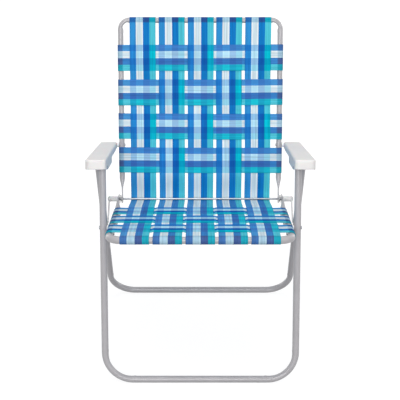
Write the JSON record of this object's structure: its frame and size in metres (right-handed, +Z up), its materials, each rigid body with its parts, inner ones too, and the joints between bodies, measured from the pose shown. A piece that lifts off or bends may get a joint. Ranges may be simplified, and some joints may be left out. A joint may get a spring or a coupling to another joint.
{
  "type": "folding webbed lawn chair",
  "caption": "Folding lawn chair of bent steel tube with moulded arm rests and interlaced striped webbing, folding flat on coupled pivots at the seat, hinge rod, arms and rear legs.",
  "frame": {"origin": "on the floor, under the middle of the chair's box", "axes": "+Z up, the sitter faces -Y, +X is to the right of someone who looks at the chair's front"},
  "size_m": [0.612, 0.5851, 0.8902],
  "materials": {
    "frame_paint": "light grey powder coat, satin",
    "arm_plastic": "moulded white plastic, fine satin",
    "zinc_plate": "bright zinc plate",
    "white_nylon": "moulded white nylon",
    "dark_washer": "dark moulded plastic",
    "striped_webbing": "woven plastic webbing with blue, white and turquoise stripes"
  },
  "bodies": {
    "front_legs": {"front_leg_frame": "frame_paint", "seat_rivet_left": "zinc_plate", "seat_rivet_right": "zinc_plate", "seat_bush_left": "white_nylon", "seat_bush_right": "white_nylon"},
    "seat": {"seat_frame": "frame_paint", "hinge_rod": "zinc_plate", "rod_spacer_left": "white_nylon", "rod_spacer_right": "white_nylon", "rod_cap_left": "zinc_plate", "rod_cap_right": "zinc_plate", "hinge_washer_left": "dark_washer", "hinge_washer_right": "dark_washer", "stay_left": "white_nylon", "stay_right": "white_nylon", "stay_pin_left": "zinc_plate", "stay_pin_right": "zinc_plate", "seat_strap_1": "striped_webbing", "seat_strap_2": "striped_webbing", "seat_strap_3": "striped_webbing", "seat_strap_4": "striped_webbing", "seat_strap_5": "striped_webbing", "seat_cross_strap_1": "striped_webbing", "seat_cross_strap_2": "striped_webbing", "seat_cross_strap_3": "striped_webbing"},
    "back": {"back_frame": "frame_paint", "back_rivet_left": "zinc_plate", "back_rivet_right": "zinc_plate", "back_spacer_left": "white_nylon", "back_spacer_right": "white_nylon", "back_strap_1": "striped_webbing", "back_strap_2": "striped_webbing", "back_strap_3": "striped_webbing", "back_strap_4": "striped_webbing", "back_strap_5": "striped_webbing", "back_cross_strap_1": "striped_webbing", "back_cross_strap_2": "striped_webbing", "back_cross_strap_3": "striped_webbing", "back_cross_strap_4": "striped_webbing"},
    "left_arm": {"arm_left": "arm_plastic", "arm_front_pin_left": "zinc_plate", "rear_leg_pin_left": "zinc_plate"},
    "right_arm": {"arm_right": "arm_plastic", "arm_front_pin_right": "zinc_plate", "rear_leg_pin_right": "zinc_plate"},
    "rear_legs": {"rear_leg_frame": "frame_paint"}
  },
  "joints": [
    {"name": "seat_fold", "type": "hinge", "parent": "front_legs", "child": "seat", "pos_m": [0, -0.15889, 0.42074], "axis": [1, 0, 0], "range_deg": [-77.8, 0]},
    {"name": "back_fold", "type": "hinge", "parent": "seat", "child": "back", "pos_m": [0, 0.137, 0.37122], "axis": [1, 0, 0], "range_deg": [0, 77.8]},
    {"name": "left_arm_fold", "type": "hinge", "parent": "front_legs", "child": "left_arm", "pos_m": [-0.2785, -0.11369, 0.57838], "axis": [1, 0, 0], "range_deg": [-77.8, 0]},
    {"name": "right_arm_fold", "type": "hinge", "parent": "front_legs", "child": "right_arm", "pos_m": [0.2785, -0.11369, 0.57838], "axis": [1, 0, 0], "range_deg": [-77.8, 0]},
    {"name": "rear_leg_fold", "type": "hinge", "parent": "right_arm", "child": "rear_legs", "pos_m": [0.2785, -0.01604, 0.56205], "axis": [1, 0, 0], "range_deg": [0, 38.9]}
  ],
  "couplings": [
    {"joint": "back_fold", "follows": "seat_fold", "ratio": -1},
    {"joint": "left_arm_fold", "follows": "seat_fold", "ratio": 1},
    {"joint": "right_arm_fold", "follows": "seat_fold", "ratio": 1},
    {"joint": "rear_leg_fold", "follows": "seat_fold", "ratio": -0.5}
  ]
}
